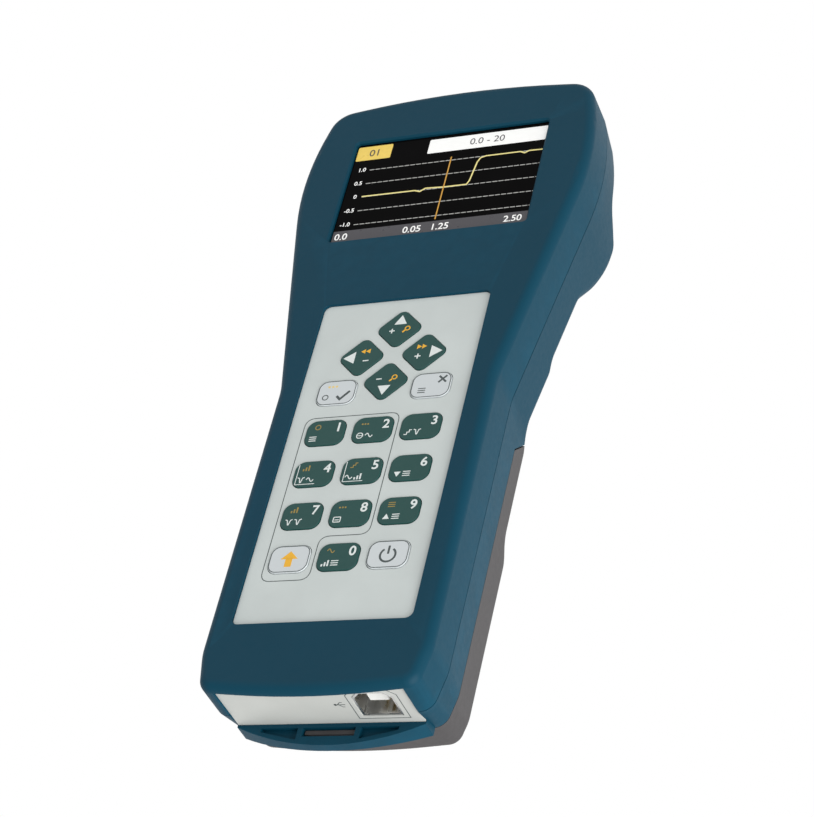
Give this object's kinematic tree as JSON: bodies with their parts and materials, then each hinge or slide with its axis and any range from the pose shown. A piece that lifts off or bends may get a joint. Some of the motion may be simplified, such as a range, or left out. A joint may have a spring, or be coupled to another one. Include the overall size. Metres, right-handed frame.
{
  "type": "handheld antenna analyzer",
  "caption": "Handheld antenna analyzer: wide head with a colour display and a round antenna socket, narrow keypad grip with a data socket, and a swinging battery cover.",
  "frame": {"origin": "middle of the outer box, on the surface that the analyzer's back rests on", "axes": "+X to the right seen from the front, +Y from the grip towards the antenna socket, +Z out of the front face"},
  "size_m": [0.0994, 0.2408, 0.041],
  "materials": {
    "case": "fine satin moulded plastic, petrol blue",
    "cover": "satin moulded plastic, warm grey",
    "end_panel": "pale grey painted plate",
    "screen_lens": "clear display window",
    "sheet_steel": "thin steel frame",
    "screen_glass": "display glass",
    "pale_plastic": "pale moulded plastic",
    "overlay": "fine matt printed sheet, pale grey",
    "key_dark": "dark green key",
    "key_light": "off-white key",
    "dome_steel": "snap dome",
    "board": "green circuit board",
    "chip": "black moulded component",
    "ribbon": "amber flexible cable",
    "tin": "tinned shielding can",
    "socket_nickel": "nickel plate",
    "insulator": "white fluoroplastic",
    "gold": "gold plate",
    "screw": "zinc plated steel",
    "usb_steel": "nickel plated sheet steel",
    "cell": "plain sleeve of a cell",
    "spring": "nickel plated spring steel"
  },
  "bodies": {
    "case": {"front_shell": "case", "rear_shell": "case", "top_end_panel": "end_panel", "bottom_end_panel": "end_panel", "display_lens": "screen_lens", "display_bezel": "sheet_steel", "display_glass": "screen_glass", "display_backlight": "pale_plastic", "keypad_overlay": "overlay", "key_domes": "dome_steel", "keypad_board": "board", "main_board": "board", "power_board": "board", "main_board_chips": "chip", "display_ribbon": "ribbon", "board_ribbon": "ribbon", "board_header": "chip", "radio_can": "tin", "bridge_board": "board", "buzzer": "chip", "antenna_socket": "socket_nickel", "antenna_insulator": "insulator", "antenna_pin": "gold", "socket_screws": "screw", "usb_shell": "usb_steel", "usb_tongue": "pale_plastic", "usb_contacts": "gold", "battery_1": "cell", "battery_2": "cell", "battery_3": "cell", "battery_springs": "spring", "battery_contacts": "spring", "case_screws": "screw", "board_screws": "screw"},
    "cover": {"battery_cover": "cover"},
    "key_up": {"key_up": "key_dark"},
    "key_down": {"key_down": "key_dark"},
    "key_left": {"key_left": "key_dark"},
    "key_right": {"key_right": "key_dark"},
    "key_ok": {"key_ok": "key_light"},
    "key_cancel": {"key_cancel": "key_light"},
    "key_1": {"key_1": "key_dark"},
    "key_2": {"key_2": "key_dark"},
    "key_3": {"key_3": "key_dark"},
    "key_4": {"key_4": "key_dark"},
    "key_5": {"key_5": "key_dark"},
    "key_6": {"key_6": "key_dark"},
    "key_7": {"key_7": "key_dark"},
    "key_8": {"key_8": "key_dark"},
    "key_9": {"key_9": "key_dark"},
    "key_f": {"key_f": "key_light"},
    "key_0": {"key_0": "key_dark"},
    "key_power": {"key_power": "key_light"}
  },
  "joints": [
    {"name": "key_up_press", "type": "slide", "parent": "case", "child": "key_up", "axis": [0, 0, -1], "range_m": [0, 0.0004], "stiffness_N_per_m": 6000, "springref_m": -0.0001},
    {"name": "key_down_press", "type": "slide", "parent": "case", "child": "key_down", "axis": [0, 0, -1], "range_m": [0, 0.0004], "stiffness_N_per_m": 6000, "springref_m": -0.0001},
    {"name": "key_left_press", "type": "slide", "parent": "case", "child": "key_left", "axis": [0, 0, -1], "range_m": [0, 0.0004], "stiffness_N_per_m": 6000, "springref_m": -0.0001},
    {"name": "key_right_press", "type": "slide", "parent": "case", "child": "key_right", "axis": [0, 0, -1], "range_m": [0, 0.0004], "stiffness_N_per_m": 6000, "springref_m": -0.0001},
    {"name": "key_ok_press", "type": "slide", "parent": "case", "child": "key_ok", "axis": [0, 0, -1], "range_m": [0, 0.0004], "stiffness_N_per_m": 6000, "springref_m": -0.0001},
    {"name": "key_cancel_press", "type": "slide", "parent": "case", "child": "key_cancel", "axis": [0, 0, -1], "range_m": [0, 0.0004], "stiffness_N_per_m": 6000, "springref_m": -0.0001},
    {"name": "key_1_press", "type": "slide", "parent": "case", "child": "key_1", "axis": [0, 0, -1], "range_m": [0, 0.0004], "stiffness_N_per_m": 6000, "springref_m": -0.0001},
    {"name": "key_2_press", "type": "slide", "parent": "case", "child": "key_2", "axis": [0, 0, -1], "range_m": [0, 0.0004], "stiffness_N_per_m": 6000, "springref_m": -0.0001},
    {"name": "key_3_press", "type": "slide", "parent": "case", "child": "key_3", "axis": [0, 0, -1], "range_m": [0, 0.0004], "stiffness_N_per_m": 6000, "springref_m": -0.0001},
    {"name": "key_4_press", "type": "slide", "parent": "case", "child": "key_4", "axis": [0, 0, -1], "range_m": [0, 0.0004], "stiffness_N_per_m": 6000, "springref_m": -0.0001},
    {"name": "key_5_press", "type": "slide", "parent": "case", "child": "key_5", "axis": [0, 0, -1], "range_m": [0, 0.0004], "stiffness_N_per_m": 6000, "springref_m": -0.0001},
    {"name": "key_6_press", "type": "slide", "parent": "case", "child": "key_6", "axis": [0, 0, -1], "range_m": [0, 0.0004], "stiffness_N_per_m": 6000, "springref_m": -0.0001},
    {"name": "key_7_press", "type": "slide", "parent": "case", "child": "key_7", "axis": [0, 0, -1], "range_m": [0, 0.0004], "stiffness_N_per_m": 6000, "springref_m": -0.0001},
    {"name": "key_8_press", "type": "slide", "parent": "case", "child": "key_8", "axis": [0, 0, -1], "range_m": [0, 0.0004], "stiffness_N_per_m": 6000, "springref_m": -0.0001},
    {"name": "key_9_press", "type": "slide", "parent": "case", "child": "key_9", "axis": [0, 0, -1], "range_m": [0, 0.0004], "stiffness_N_per_m": 6000, "springref_m": -0.0001},
    {"name": "key_f_press", "type": "slide", "parent": "case", "child": "key_f", "axis": [0, 0, -1], "range_m": [0, 0.0004], "stiffness_N_per_m": 6000, "springref_m": -0.0001},
    {"name": "key_0_press", "type": "slide", "parent": "case", "child": "key_0", "axis": [0, 0, -1], "range_m": [0, 0.0004], "stiffness_N_per_m": 6000, "springref_m": -0.0001},
    {"name": "key_power_press", "type": "slide", "parent": "case", "child": "key_power", "axis": [0, 0, -1], "range_m": [0, 0.0004], "stiffness_N_per_m": 6000, "springref_m": -0.0001},
    {"name": "cover_swing", "type": "hinge", "parent": "case", "child": "cover", "pos_m": [0, -0.00622, 0.00557], "axis": [1, 0, 0], "range_deg": [0, 60]}
  ]
}
